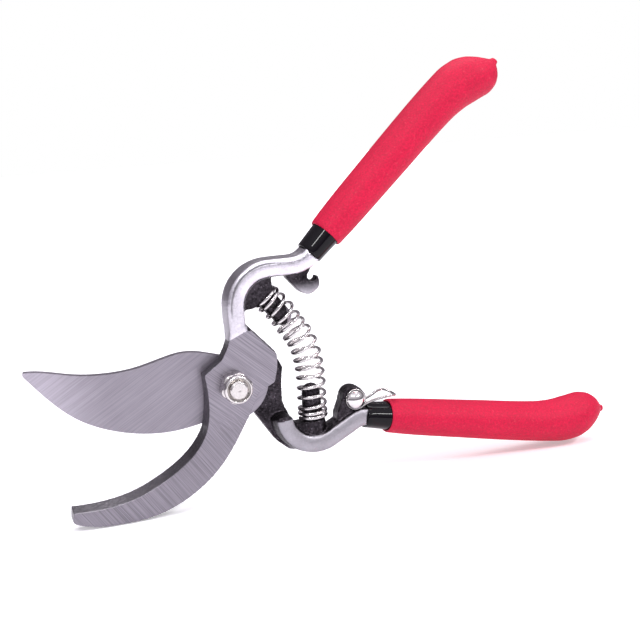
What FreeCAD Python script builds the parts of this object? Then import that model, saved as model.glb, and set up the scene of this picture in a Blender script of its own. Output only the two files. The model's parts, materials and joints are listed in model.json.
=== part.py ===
import FreeCAD, Part
import math
import os

# Forged bypass pruning shears, standing open on the hook's lower edge and the end of the lower grip.
# +X runs from the cutting head to the grips, +Z is up, and -Y is the side that shows the pivot nut.
# Outlines are drawn on X and Z about the pivot axis, in millimetres, and each sub-part's Placement
# carries the pivot to its place above the floor. The shear plane, where hook and blade pass, is y = 0.

V = FreeCAD.Vector
doc = FreeCAD.newDocument("pruning_shears")

DIMENSIONS = {
    "pivot_x": -36.48,             # the pivot axis, from the middle of the whole box
    "pivot_y": 1.0,
    "pivot_height": 39.4,          # the pivot axis above the floor
    "running_gap": 0.05,           # between faces and pins that turn on each other
    "plate_thick": 6.0,            # hook plate, from the shear plane forwards
    "blade_thick": 3.0,            # blade, from the shear plane backwards
    "neck_front": 1.0,             # front face of the blade handle's neck, behind the shear plane
    "neck_back": 7.0,              # back face of the neck and of the round head
    "blade_disc_radius": 12.9,     # round base of the blade
    "recess_radius": 13.1,         # round recess that the base sits in
    "head_radius": 12.7,           # round head behind the blade
    "clearance_radius": 19.2,      # the hook handle's back is cut away inside this circle
    "handle_mid": 1.0,             # middle plane of bars, lugs and grips, forwards of the shear plane
    "bar_width": 7.0,
    "bar_depth": 11.2,
    "web_thick": 6.0,              # latch lug and spring seats
    "catch_thick": 4.4,            # the catch, which passes between the latch wire's legs
    "lower_axis_angle": -11.15,    # direction of the lower grip, from +X
    "upper_axis_angle": 43.7,      # direction of the upper grip, from +X
    "axis_offset": 8.25,           # distance from the pivot to each grip's axis
    "upper_sleeve_start": 48.7,    # along the upper grip's axis, from the foot of the pivot
    "upper_grip_start": 57.2,
    "upper_grip_end": 140.3,
    "lower_sleeve_start": 46.9,    # the same along the lower grip's axis
    "lower_grip_start": 55.4,
    "lower_grip_end": 140.5,
    "sleeve_length": 17.3,
    "sleeve_height": 8.6,
    "sleeve_depth": 12.6,
    "tang_end": 118.0,
    "tang_height": 5.6,
    "tang_depth": 9.4,
    "peg_radius": 3.1,             # spring peg at its rounded tip
    "peg_base_radius": 3.5,
    "peg_length": 12.4,
    "peg_hole": 1.15,              # cross hole through each peg, as a radius
    "spring_radius": 5.2,
    "spring_wire": 1.3,
    "bolt_radius": 3.0,
    "bolt_head_height": 4.0,
    "nut_flats": 10.0,             # across the flats of the nut and of the bolt's head
    "nut_hex_height": 4.0,
    "nut_collar_height": 2.2,
    "nut_collar_radius": 4.65,
    "insert_radius": 3.75,
    "bolt_stand_out": 0.7,         # bolt end beyond the nut
    "pin_radius": 1.5,             # dowel that keys the blade to the head
    "rivet_radius": 1.6,
    "rivet_head_radius": 3.15,
    "rivet_head_height": 1.9,
    "rivet_rim_height": 0.4,
    "latch_wire_radius": 0.7,
    "latch_reach": 15.2,           # rivet axis to the wire's cross end
    "latch_corner": 2.0,           # bend of the wire into its cross end
    "latch_angle": -3.0,           # the wire's direction at rest, from +X
    "rivet_x": 40.8,
    "rivet_z": -10.6,
}

sheet = doc.addObject("Spreadsheet::Sheet", "dims")
for row, (alias, number) in enumerate(DIMENSIONS.items(), start=1):
    sheet.set("A%d" % row, alias)
    sheet.set("B%d" % row, str(number))
    sheet.setAlias("B%d" % row, alias)
doc.recompute()


def dim(alias):
    """A driving dimension, read from the sheet."""
    return float(sheet.get(alias))


# ---------------------------------------------------------------- outlines

def point(xy):
    return V(xy[0], xy[1], 0)


def line(start, end):
    return Part.LineSegment(point(start), point(end))


def profile_lines(points):
    return [line(points[i], points[(i + 1) % len(points)]) for i in range(len(points))]


def curve(points):
    """A smooth curve through a few points."""
    spline = Part.BSplineCurve()
    spline.interpolate([point(p) for p in points])
    return spline


def rounded(corners, closed=True):
    """Straight runs through corners given as (x, y, radius), with a tangent arc at each corner."""
    count = len(corners)
    cuts = []
    for i, (x, y, radius) in enumerate(corners):
        here = V(x, y, 0)
        if radius == 0 or (not closed and i in (0, count - 1)):
            cuts.append((here, None, here))
            continue
        back = (point(corners[i - 1]) - here).normalize()
        ahead = (point(corners[(i + 1) % count]) - here).normalize()
        half = back.getAngle(ahead) / 2
        setback = radius / math.tan(half)
        middle = (back + ahead).normalize() * (radius / math.sin(half) - radius)
        cuts.append((here + back * setback, here + middle, here + ahead * setback))
    pieces = []
    for i, (start, middle, end) in enumerate(cuts):
        if middle is not None:
            pieces.append(Part.Arc(start, middle, end))
        if closed or i < count - 1:
            pieces.append(Part.LineSegment(end, cuts[(i + 1) % count][0]))
    return pieces


def dome(radius, height, base=0.0):
    """Half of a spherical cap's outline, from its rim up to its top; a negative height turns it over."""
    sphere = (radius ** 2 + height ** 2) / (2 * height)
    centre = base + height - sphere
    half = math.asin(radius / abs(sphere)) / 2
    middle = (abs(sphere) * math.sin(half), centre + sphere * math.cos(half))
    return (radius, base), middle, (0, base + height)


def arc(three):
    return Part.Arc(point(three[0]), point(three[1]), point(three[2]))


def circle(x, y, radius):
    return Part.Circle(V(x, y, 0), V(0, 0, 1), radius)


def turned(points, base, degrees):
    """Points (along, aside) laid off from a base point in a given direction."""
    angle = math.radians(degrees)
    cos, sin = math.cos(angle), math.sin(angle)
    return [(base[0] + a * cos - b * sin, base[1] + a * sin + b * cos) for a, b in points]


# ---------------------------------------------------------------- bodies and features

def new_body(name):
    body = doc.addObject("PartDesign::Body", name)
    body.Label = name
    return body


def place(body, base=("0", "0", "0"), axis=V(0, 1, 0), angle="0"):
    """Carry a body from the pivot's own frame to its place in the row's frame."""
    body.Placement = FreeCAD.Placement(V(0, 0, 0), FreeCAD.Rotation(axis, 1))
    body.setExpression("Placement.Base.x", "dims.pivot_x + " + base[0])
    body.setExpression("Placement.Base.y", "dims.pivot_y + " + base[1])
    body.setExpression("Placement.Base.z", "dims.pivot_height + " + base[2])
    body.setExpression("Placement.Rotation.Angle", angle)


def add_sketch(body, name, role, pieces, offset="0"):
    """A sketch on one of the body's own origin planes, moved along the plane's normal."""
    sketch = body.newObject("Sketcher::SketchObject", name)
    plane = next(f for f in body.Origin.OriginFeatures if f.Role == role)
    sketch.AttachmentSupport = [(plane, "")]
    sketch.MapMode = "FlatFace"
    sketch.setExpression("AttachmentOffset.Base.z", offset)
    for piece in pieces:
        sketch.addGeometry(piece, False)
    return sketch


def pad(body, name, pieces, length, front, role="XZ_Plane"):
    """A pad whose near face is at front; on XZ_Plane the normal points forwards, to -Y."""
    sketch = add_sketch(body, name + "_sketch", role, pieces, "%s - (%s)" % (front, length))
    feature = body.newObject("PartDesign::Pad", name)
    feature.Profile = sketch
    feature.setExpression("Length", length)
    doc.recompute()
    return feature


def pocket(body, name, pieces, length, start, forwards=False, role="XZ_Plane"):
    """A pocket from start; it cuts backwards unless forwards is set, and must remove material."""
    before = body.Shape.Volume
    sketch = add_sketch(body, name + "_sketch", role, pieces, start)
    feature = body.newObject("PartDesign::Pocket", name)
    feature.Profile = sketch
    feature.setExpression("Length", length)
    feature.Reversed = forwards
    doc.recompute()
    if body.Shape.Volume > before - 1e-3:
        raise RuntimeError("pocket cuts nothing: " + name)
    return feature


def revolve(body, name, pieces, role, axis=None, offset="0", groove=False):
    """A full turn of a profile about the sketch's V_Axis, or about an axis given by two points."""
    sketch = add_sketch(body, name + "_sketch", role, pieces, offset)
    if axis:
        sketch.addGeometry(line(axis[0], axis[1]), True)
    feature = body.newObject("PartDesign::Groove" if groove else "PartDesign::Revolution", name)
    feature.Profile = sketch
    feature.ReferenceAxis = (sketch, ["Axis0" if axis else "V_Axis"])
    feature.Angle = 360
    doc.recompute()
    return feature


def sweep(body, name, section, path):
    feature = body.newObject("PartDesign::AdditivePipe", name)
    feature.Profile = section
    feature.Spine = (path, [])
    doc.recompute()
    return feature


def loft(body, name, sections, ruled, subtract=False):
    kind = "PartDesign::SubtractiveLoft" if subtract else "PartDesign::AdditiveLoft"
    feature = body.newObject(kind, name)
    feature.Profile = sections[0]
    feature.Sections = sections[1:]
    feature.Ruled = ruled
    doc.recompute()
    return feature


# ---------------------------------------------------------------- shared shapes of the two handles

SEAT_LOW = (26.7, -15.9)           # where the spring ends on each peg
SEAT_HIGH = (13.3, 27.4)
PEG_HIGH_ANGLE = -52.0             # the upper peg's direction, from +X
PEG_LOW_ANGLE = 90.0


def axis_angle(side):
    return dim(side + "_axis_angle")


def axis_offset(side):
    """The upper grip's axis passes above the pivot, and the lower grip's axis below it."""
    return dim("axis_offset") if side == "upper" else -dim("axis_offset")


def bar_section(x):
    """Cross-section of a forged bar: domed front and back, drafted sides, a ridge near the outside."""
    half_width = dim("bar_width") / 2
    half_depth = dim("bar_depth") / 2
    middle = -dim("handle_mid")
    edge = half_width - 0.8
    return rounded([
        (x + edge, middle - half_depth + 0.7, 0.5),
        (x + 0.6, middle - half_depth, 6.0),
        (x - edge + 0.9, middle - half_depth + 0.15, 0.3),
        (x - edge, middle - half_depth + 0.9, 0.5),
        (x - half_width, middle, 6.0),
        (x - edge, middle + half_depth - 0.9, 0.8),
        (x, middle + half_depth, 6.0),
        (x + edge, middle + half_depth - 0.7, 0.8),
        (x + half_width, middle, 6.0),
    ])


def add_bar(body, corners, side):
    """Sweep the bar's section along straight runs and bends, up to the end of the sleeve."""
    start = corners[0]
    sleeve = (dim(side + "_sleeve_start"), axis_offset(side))
    end = turned([sleeve], (0, 0), axis_angle(side))[0]
    section = add_sketch(body, "bar_section", "XY_Plane", bar_section(start[0]), "%s" % start[1])
    path = add_sketch(body, "bar_path", "XZ_Plane",
                      rounded(corners + [(end[0], end[1], 0)], closed=False))
    sweep(body, "bar", section, path)


def add_tang(body, side):
    """The flat tang that runs on from the bar through the sleeve and most of the grip."""
    half = dim("tang_height") / 2
    offset = axis_offset(side)
    start = dim(side + "_sleeve_start") - 3
    corners = [(start, offset - half), (dim("tang_end"), offset - half),
               (dim("tang_end"), offset + half), (start, offset + half)]
    places = turned(corners, (0, 0), axis_angle(side))
    radii = (0, 2.4, 2.4, 0)
    outline = rounded([(x, z, r) for (x, z), r in zip(places, radii)])
    pad(body, "tang", outline, "dims.tang_depth", "dims.handle_mid + dims.tang_depth / 2")


def add_peg(body, seat, angle):
    """A tapered, round-ended spring peg, whose root is sunk in the seat behind it."""
    tip_height = 2.4
    rim, middle, top = [(along, aside) for aside, along in
                        dome(dim("peg_radius"), tip_height, dim("peg_length") - tip_height)]
    root = [(0, dim("peg_base_radius")), (-4, dim("peg_base_radius")), (-4, 0)]
    tip = turned([rim, middle, top], seat, angle)
    side = [tip[0]] + turned(root, seat, angle) + [tip[2]]
    pieces = [line(start, end) for start, end in zip(side, side[1:])] + [arc(tip)]
    revolve(body, "peg", pieces, "XZ_Plane", (side[3], side[4]), "dims.handle_mid")
    hole = turned([(3.6, 0)], seat, angle)[0]
    pocket(body, "peg_hole", [circle(hole[0], hole[1], dim("peg_hole"))],
           "20", "dims.handle_mid + 10")


# ---------------------------------------------------------------- hook handle: the front forging

HOOK_HEEL = (-9.5, 4.7)
HOOK_OUTER = [(4.6, -9.5), (-0.2, -17.2), (-5.4, -24.3), (-16.0, -33.2), (-28.0, -38.2),
              (-40.0, -39.4), (-48.6, -38.7), (-53.6, -37.2)]

# the plate's sides are drafted: an outline on the shear plane, and a smaller one on the front face
BACK_TIP = [(-53.6, -37.2, 0), (-55.3, -36.2, 0.9), (-54.8, -32.3, 0)]
BACK_INNER = [(-54.8, -32.3), (-45.2, -32.3), (-35.3, -30.6), (-25.5, -26.4), (-15.9, -19.6),
              (-11.3, -13.3), (-9.5, -6.0), (-9.3, 0.5), HOOK_HEEL]
BACK_PLATE = [(-9.5, 4.7, 0), (-3.4, 9.0, 5.0), (-0.9, 13.6, 7.0), (0.3, 20.0, 0), (5.2, 20.0, 0),
              (6.9, 18.6, 1.6), (15.7, 8.8, 1.4), (15.3, 4.2, 3.0), (14.0, -0.7, 1.0), (7.9, -3.7, 5.0),
              (4.6, -9.5, 0)]
FRONT_TIP = [(-53.6, -37.2, 0), (-55.1, -36.2, 0.9), (-54.5, -33.3, 0)]
FRONT_INNER = [(-54.5, -33.3), (-45.0, -33.4), (-35.0, -31.8), (-25.0, -27.5), (-15.0, -20.4),
               (-10.5, -13.7), (-8.9, -6.0), (-9.0, 0.5), HOOK_HEEL]
FRONT_PLATE = [(-9.5, 4.7, 0), (-3.4, 9.0, 5.0), (-0.9, 13.6, 7.0), (0.3, 20.0, 0), (4.8, 20.0, 0),
               (6.3, 18.3, 1.6), (14.9, 8.6, 1.4), (14.7, 4.3, 3.0), (13.5, -0.5, 1.0), (7.5, -3.4, 5.0),
               (4.6, -9.5, 0)]
UPPER_BAR = [(2.65, 14.0, 0), (2.65, 36.7, 12.0), (26.46, 36.7, 10.0)]


def make_hook_handle():
    body = new_body("hook_handle")
    outlines = []
    for name, plate, tip, inner, offset in (
            ("plate_back", BACK_PLATE, BACK_TIP, BACK_INNER, "dims.running_gap"),
            ("plate_front", FRONT_PLATE, FRONT_TIP, FRONT_INNER, "dims.plate_thick")):
        pieces = rounded(plate, closed=False) + [curve(HOOK_OUTER)]
        pieces += rounded(tip, closed=False) + [curve(inner)]
        outlines.append(add_sketch(body, name, "XZ_Plane", pieces, offset))
    loft(body, "plate", outlines, ruled=True)

    add_bar(body, UPPER_BAR, "upper")
    add_tang(body, "upper")

    spring_seat = rounded([(4.6, 23.6, 0), (9.1, 24.1, 0.8), (15.8, 29.4, 0.6), (15.4, 34.0, 0),
                           (10.0, 36.0, 0), (3.0, 30.0, 0)])
    pad(body, "spring_seat", spring_seat, "dims.web_thick + 1", "dims.handle_mid + 3.5")
    catch = rounded([(20.6, 35.0, 0), (20.9, 32.6, 1.0), (25.0, 27.6, 3.0), (28.6, 26.0, 3.0),
                     (32.4, 28.8, 2.6), (31.8, 32.4, 0.4), (30.8, 32.4, 0.3), (30.9, 31.3, 0.4),
                     (29.4, 30.7, 1.15), (27.6, 32.0, 1.15), (29.4, 34.9, 0.5), (30.0, 37.5, 0)])
    pad(body, "catch", catch, "dims.catch_thick", "dims.handle_mid + dims.catch_thick / 2")
    add_peg(body, SEAT_HIGH, PEG_HIGH_ANGLE)

    clearance = [circle(0, 0, dim("clearance_radius"))]
    pocket(body, "head_clearance", clearance, "12", "dims.running_gap")
    ground = rounded([(-70, -50, 0), (25, -50, 0), (25, 10, 0), (12.0, 13.5, 0), (7.4, 17.4, 1.5),
                      (4.8, 17.2, 2.0), (-0.4, 15.0, 0), (-6, 12.5, 0), (-70, 12.5, 0)])
    pocket(body, "ground_face", ground, "5", "dims.plate_thick", forwards=True)
    bore = [circle(0, 0, dim("bolt_radius") + dim("running_gap"))]
    pocket(body, "pivot_bore", bore, "20", "dims.plate_thick + 2")
    place(body)
    return body


# ---------------------------------------------------------------- blade handle: the back forging

LOWER_BAR = [(15.8, -12.4, 0), (15.8, -30.6, 10.8), (42.46, -16.78, 5.2)]
NECK = [(6.5, -9.9, 0), (14.3, -22.2, 7.0), (18.5, -26.0, 3.0), (25.5, -26.8, 1.0),
        (25.0, -23.0, 0), (20.6, -17.0, 4.0),
        (17.3, -9.5, 8.0), (17.5, -2.5, 12.0), (18.3, 2.7, 1.2), (16.8, 5.8, 2.0),
        (12.5, 11.2, 3.0), (5.0, 12.6, 0), (0, 0, 0)]
HEAD_TRIM = [(-14.0, 9.0, 0), (-9.0, 9.4, 0), (-3.0, 8.0, 0), (0.6, 9.6, 0), (2.6, 14.0, 0),
             (-14.0, 15.0, 0)]


def make_blade_handle():
    body = new_body("blade_handle")
    pad(body, "neck", rounded(NECK), "dims.neck_back - dims.neck_front", "-dims.neck_front")
    pad(body, "head", [circle(0, 0, dim("head_radius"))],
        "dims.neck_back - dims.blade_thick", "-dims.blade_thick")
    pocket(body, "head_trim", rounded(HEAD_TRIM), "20", "5")
    pocket(body, "blade_recess", [circle(0, 0, dim("recess_radius"))],
           "dims.blade_thick - dims.neck_front", "-dims.neck_front")

    add_bar(body, LOWER_BAR, "lower")
    bar_top = [line((19.9, -16.6), (22.0, -8.0)), line((22.0, -8.0), (10.0, -8.0)),
               line((10.0, -8.0), (12.0, -15.8)),
               Part.Arc(point((12.0, -15.8)), point((15.2, -12.5)), point((19.9, -16.6)))]
    pocket(body, "bar_top", bar_top, "8 + dims.neck_front - 0.1", "8")
    add_tang(body, "lower")

    web = rounded([(17.0, -12.0, 0), (20.5, -16.2, 1.5), (23.4, -16.0, 0.5), (27.0, -17.5, 0),
                   (27.0, -24.0, 0), (17.0, -21.0, 0)])
    pad(body, "web", web, "dims.web_thick", "dims.handle_mid + dims.web_thick / 2")
    lug = rounded([(34.3, -19.0, 0), (34.7, -15.0, 1.5), (36.4, -11.0, 4.0), (37.8, -6.25, 3.8),
                   (44.3, -6.25, 3.8), (45.0, -12.9, 2.0), (44.2, -17.0, 0)])
    pad(body, "lug", lug, "dims.web_thick", "dims.handle_mid + dims.web_thick / 2")
    boss = turned([(-8.0, 0), (0, 0), (0, 4.3), (-8.0, 4.3)], SEAT_LOW, PEG_LOW_ANGLE)
    revolve(body, "spring_boss", profile_lines(boss), "XZ_Plane", boss[:2], "dims.handle_mid")
    add_peg(body, SEAT_LOW, PEG_LOW_ANGLE)

    pocket(body, "bolt_hole", [circle(0, 0, dim("bolt_radius"))], "30", "10")
    pocket(body, "pin_hole", [circle(8, 4.5, dim("pin_radius"))], "30", "10")
    rivet_hole = [circle(dim("rivet_x"), dim("rivet_z"), dim("rivet_radius"))]
    pocket(body, "rivet_hole", rivet_hole, "30", "10")
    place(body)
    return body


# ---------------------------------------------------------------- blade

BLADE_HEEL = [(-2.0, 9.3, 0), (1.6, 14.0, 0), (-9.5, 15.0, 0), (-8.7, 11.2, 0)]
BLADE_SPINE = [(-64.2, 12.0), (-60.6, 11.7), (-50.0, 9.3), (-40.0, 8.2), (-30.0, 8.8), (-20.0, 11.1),
               (-14.5, 11.9), (-8.7, 11.2), (-2.0, 9.3)]
BLADE_EDGE = [(-64.7, 11.0), (-57.5, 2.2), (-50.0, -4.7), (-40.0, -9.9), (-30.0, -12.6),
              (-21.0, -13.3), (-12.0, -12.3), (-3.0, -10.0)]
BEVEL_EDGE = [(-64.5, 11.4), (-55.0, 5.2), (-47.0, -0.8), (-38.0, -4.8), (-29.0, -6.6),
              (-21.0, -7.3), (-12.0, -8.4), (-3.0, -8.8)]


def blade_outline(lower_edge, tip):
    """The blade from its tip to inside its round base, with the given lower edge."""
    return [
        curve(BLADE_SPINE),
        line(BLADE_SPINE[-1], (4.0, 3.0)),
        line((4.0, 3.0), (4.0, -6.0)),
        line((4.0, -6.0), lower_edge[-1]),
        curve(lower_edge[::-1]),
        Part.Arc(point(lower_edge[0]), point(tip), point(BLADE_SPINE[0])),
    ]


def make_blade():
    """Flat on the shear plane; the bevel is ground on the far side, along the lower edge."""
    body = new_body("blade")
    front = add_sketch(body, "flat_side", "XZ_Plane", blade_outline(BLADE_EDGE, (-64.7, 11.6)))
    back = add_sketch(body, "bevel_side", "XZ_Plane", blade_outline(BEVEL_EDGE, (-64.5, 11.8)),
                      "-dims.blade_thick")
    loft(body, "ground_blade", [front, back], ruled=True)
    pad(body, "base", [circle(0, 0, dim("blade_disc_radius"))], "dims.blade_thick", "0")
    pocket(body, "heel_notch", rounded(BLADE_HEEL), "20", "5")
    pocket(body, "bolt_hole", [circle(0, 0, dim("bolt_radius"))], "20", "5")
    pocket(body, "pin_hole", [circle(8, 4.5, dim("pin_radius"))], "20", "5")
    place(body)
    return body


# ---------------------------------------------------------------- pivot hardware

def hexagon(across_flats):
    radius = across_flats / math.sqrt(3)
    corners = [(radius * math.cos(math.radians(a)), radius * math.sin(math.radians(a)), 0)
               for a in range(12, 372, 60)]
    return rounded(corners)


def make_blade_pin():
    body = new_body("blade_pin")
    pad(body, "dowel", [circle(8, 4.5, dim("pin_radius"))], "dims.neck_back - 0.2", "-0.2")
    place(body)
    return body


def make_pivot_bolt():
    body = new_body("pivot_bolt")
    radius = dim("bolt_radius")
    back = dim("neck_back")
    end = -(dim("plate_thick") + 2 * dim("running_gap") + dim("nut_hex_height")
            + dim("nut_collar_height") + dim("bolt_stand_out"))
    shank = [(0, end + 0.25), (0.5, end), (radius - 0.5, end), (radius, end + 0.5), (radius, back),
             (0, back)]
    revolve(body, "shank", profile_lines(shank), "XY_Plane")
    pad(body, "hex_head", hexagon(dim("nut_flats")), "dims.bolt_head_height", "-dims.neck_back")
    place(body)
    return body


def make_pivot_nut():
    """Hexagon nut with a round collar that holds a locking insert."""
    body = new_body("pivot_nut")
    seat = dim("plate_thick") + 2 * dim("running_gap")
    shoulder = seat + dim("nut_hex_height")
    top = shoulder + dim("nut_collar_height")
    pad(body, "hex", hexagon(dim("nut_flats")), "dims.nut_hex_height",
        "dims.plate_thick + 2 * dims.running_gap + dims.nut_hex_height")
    collar = dim("nut_collar_radius")
    wall = dim("insert_radius")
    outline = [(0, -shoulder + 1), (collar, -shoulder + 1), (collar, -top + 0.8),
               (collar - 0.5, -top), (wall - 0.2, -top), (0, -top)]
    revolve(body, "collar", profile_lines(outline), "XY_Plane")
    pocket(body, "thread", [circle(0, 0, dim("bolt_radius"))], "30", "20")
    pocket(body, "insert_seat", [circle(0, 0, wall)], "2.0", "%s" % top)
    corner_trim = dim("nut_flats") / math.sqrt(3)
    bevel = [(corner_trim - 0.75, -shoulder - 0.1), (corner_trim + 1, -shoulder - 0.1),
             (corner_trim + 1, -shoulder + 1.0), (corner_trim - 0.05, -shoulder + 0.45)]
    revolve(body, "corner_bevel", profile_lines(bevel), "XY_Plane", groove=True)
    place(body)
    return body


def make_nut_insert():
    body = new_body("nut_insert")
    seat = dim("plate_thick") + 2 * dim("running_gap")
    top = seat + dim("nut_hex_height") + dim("nut_collar_height")
    ring = [(dim("bolt_radius"), -top + 2.0), (dim("insert_radius"), -top + 2.0),
            (dim("insert_radius"), -top + 0.25), (dim("bolt_radius"), -top + 0.5)]
    revolve(body, "ring", profile_lines(ring), "XY_Plane")
    place(body)
    return body


# ---------------------------------------------------------------- spring

def make_spring():
    """The compression spring's envelope: a bent tube from seat to seat, round both pegs."""
    body = new_body("spring")
    rise = dim("spring_wire") / 2
    start = (SEAT_LOW[0], SEAT_LOW[1] + 0.1)
    end = turned([(0.1, 0)], SEAT_HIGH, PEG_HIGH_ANGLE)[0]
    path = rounded([(start[0], start[1], 0), (26.9, 10.0, 28.0), (end[0], end[1], 0)], closed=False)
    outer = dim("spring_radius")
    inner = outer - dim("spring_wire")
    section = add_sketch(body, "tube_section", "XY_Plane",
                         [circle(start[0], -dim("handle_mid"), outer),
                          circle(start[0], -dim("handle_mid"), inner)], "%s" % start[1])
    spine = add_sketch(body, "tube_path", "XZ_Plane", path, "dims.handle_mid")
    sweep(body, "tube", section, spine)
    place(body)
    return body


# ---------------------------------------------------------------- latch

def make_latch_rivet():
    """Round-headed rivet, along Y, about its own axis."""
    body = new_body("latch_rivet")
    radius = dim("rivet_radius")
    head = dim("rivet_head_radius")
    height = dim("rivet_head_height")
    under = dim("web_thick") / 2 + 2 * dim("latch_wire_radius") + 3 * dim("running_gap")
    shoulder = under + dim("rivet_rim_height")
    for name, way, height in (("front", -1, dim("rivet_head_height")), ("back", 1, 1.6)):
        cap = dome(head, way * height, way * shoulder)
        side = [cap[2], (0, 0), (radius, 0), (radius, way * under), (head, way * under), cap[0]]
        pieces = [line(start, end) for start, end in zip(side, side[1:])] + [arc(cap)]
        revolve(body, name + "_half", pieces, "XY_Plane")
    place(body, base=("dims.rivet_x", "(-dims.handle_mid)", "dims.rivet_z"))
    return body


def make_latch_wire():
    """A wire bail: two eyes on the rivet, two legs and a cross end, laid along its own +X."""
    body = new_body("latch_wire")
    wire = dim("latch_wire_radius")
    ring = dim("rivet_radius") + dim("running_gap") + wire
    aside = dim("web_thick") / 2 + dim("running_gap") + wire
    reach = dim("latch_reach")
    bend = dim("latch_corner")
    path = rounded([(ring, -aside, 0), (reach, -aside, bend), (reach, aside, bend), (ring, aside, 0)],
                   closed=False)
    section = add_sketch(body, "wire_section", "YZ_Plane", [circle(-aside, 0, wire)], "%s" % ring)
    spine = add_sketch(body, "wire_path", "XY_Plane", path)
    sweep(body, "bail", section, spine)
    for name, side in (("front_eye", -aside), ("back_eye", aside)):
        revolve(body, name, [circle(ring, side, wire)], "XY_Plane")
    place(body, base=("dims.rivet_x", "(-dims.handle_mid)", "dims.rivet_z"), angle="-dims.latch_angle")
    return body


# ---------------------------------------------------------------- sleeves and grips

# along the grip: share of its length, shift of the centre, half height, half depth
GRIP_SECTIONS = [
    (0.00, 0.00, 5.70, 6.9), (0.08, -0.02, 6.10, 7.3), (0.17, -0.05, 6.35, 7.5), (0.26, -0.10, 6.50, 7.7),
    (0.35, -0.15, 6.65, 7.8), (0.44, -0.20, 6.80, 7.9), (0.53, -0.25, 6.90, 8.0), (0.61, -0.35, 7.00, 8.1),
    (0.69, -0.60, 7.15, 8.3), (0.76, -1.20, 7.55, 8.5), (0.82, -2.20, 8.15, 8.6), (0.87, -3.50, 8.30, 8.5),
    (0.91, -4.60, 7.40, 7.7), (0.945, -5.60, 5.40, 5.8), (0.97, -6.20, 3.20, 3.5), (0.987, -6.45, 1.6, 1.7),
    (1.00, -6.60, 1.10, 1.2),
]


def ellipse(centre, half_height, half_depth):
    """On YZ_Plane: the sketch's x runs along Y and its y along Z."""
    middle = V(0, centre, 0)
    if half_depth >= half_height:
        return Part.Ellipse(middle + V(half_depth, 0, 0), middle + V(0, half_height, 0), middle)
    return Part.Ellipse(middle + V(0, half_height, 0), middle + V(-half_depth, 0, 0), middle)


def place_on_axis(body, side):
    """Lay a body along a grip's axis; the lower one is turned over, so its outside faces down."""
    turn = FreeCAD.Rotation(V(0, 1, 0), -axis_angle(side))
    if side == "lower":
        turn = turn * FreeCAD.Rotation(V(1, 0, 0), 180)
    body.Placement = FreeCAD.Placement(V(0, 0, 0), turn)
    body.setExpression("Placement.Base.x", "dims.pivot_x")
    body.setExpression("Placement.Base.y", "dims.pivot_y - dims.handle_mid")
    body.setExpression("Placement.Base.z", "dims.pivot_height")


def tang_hole(body, side, length):
    """The tang's own section, cut along the axis from its open end."""
    centre = dim("axis_offset")
    half_depth = dim("tang_depth") / 2
    half_height = dim("tang_height") / 2
    corners = [(-half_depth, centre - half_height, 0), (half_depth, centre - half_height, 0),
               (half_depth, centre + half_height, 0), (-half_depth, centre + half_height, 0)]
    pocket(body, "tang_hole", rounded(corners), length, "dims.%s_sleeve_start - 5" % side,
           forwards=True, role="YZ_Plane")


def sleeve_ellipse(share):
    """The sleeve's section, part of the way from its thin end to its thick one."""
    return ellipse(dim("axis_offset"), dim("sleeve_height") / 2 + 1.0 * share,
                   dim("sleeve_depth") / 2 + 0.45 * share)


def make_sleeve(side):
    """A glossy tapered collar on the tang, half of it hidden in the grip."""
    body = new_body(side + "_sleeve")
    start = "dims.%s_sleeve_start" % side
    thin = add_sketch(body, "thin_end", "YZ_Plane", [sleeve_ellipse(0)], start)
    thick = add_sketch(body, "thick_end", "YZ_Plane", [sleeve_ellipse(1)],
                       start + " + dims.sleeve_length")
    loft(body, "collar", [thin, thick], ruled=True)
    tang_hole(body, side, "dims.sleeve_length + 10")
    place_on_axis(body, side)
    return body


def make_grip(side):
    body = new_body(side + "_grip")
    start = "dims.%s_grip_start" % side
    length = "(dims.%s_grip_end - dims.%s_grip_start)" % (side, side)
    stations = []
    for number, (share, shift, half_height, half_depth) in enumerate(GRIP_SECTIONS):
        outline = ellipse(dim("axis_offset") + shift, half_height, half_depth)
        stations.append(add_sketch(body, "section_%d" % number, "YZ_Plane", [outline],
                                   "%s + %s * %s" % (start, length, share)))
    loft(body, "skin", stations, ruled=True)
    sleeve_start = dim(side + "_sleeve_start")
    inside = (dim(side + "_grip_start") - sleeve_start) / dim("sleeve_length")
    mouth = add_sketch(body, "mouth", "YZ_Plane", [sleeve_ellipse(inside)], start)
    floor = add_sketch(body, "mouth_floor", "YZ_Plane", [sleeve_ellipse(1)],
                       "dims.%s_sleeve_start + dims.sleeve_length" % side)
    loft(body, "sleeve_socket", [mouth, floor], ruled=True, subtract=True)
    tang_hole(body, side, "dims.tang_end - dims.%s_sleeve_start + 5" % side)
    place_on_axis(body, side)
    return body


parts = [
    make_hook_handle(),
    make_blade_handle(),
    make_blade(),
    make_blade_pin(),
    make_pivot_bolt(),
    make_pivot_nut(),
    make_nut_insert(),
    make_spring(),
    make_latch_rivet(),
    make_latch_wire(),
    make_sleeve("upper"),
    make_sleeve("lower"),
    make_grip("upper"),
    make_grip("lower"),
]

doc.recompute()
for item in doc.Objects:
    if "Invalid" in item.State or "Error" in item.State:
        raise RuntimeError("failed: %s %s" % (item.Name, item.State))
for body in parts:
    if body.Shape.isNull() or not body.Shape.isValid():
        raise RuntimeError("bad shape: " + body.Label)

os.makedirs("parts", exist_ok=True)
box = FreeCAD.BoundBox()
for body in parts:
    body.Shape.exportStep("parts/%s.step" % body.Label)
    box.add(body.Shape.BoundBox)
    print("%-14s solids %d  volume %9.1f mm3" % (body.Label, len(body.Shape.Solids), body.Shape.Volume))
print("box x %.2f..%.2f  y %.2f..%.2f  z %.2f..%.2f"
      % (box.XMin, box.XMax, box.YMin, box.YMax, box.ZMin, box.ZMax))
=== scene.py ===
import json
import math
from collections import namedtuple

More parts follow.
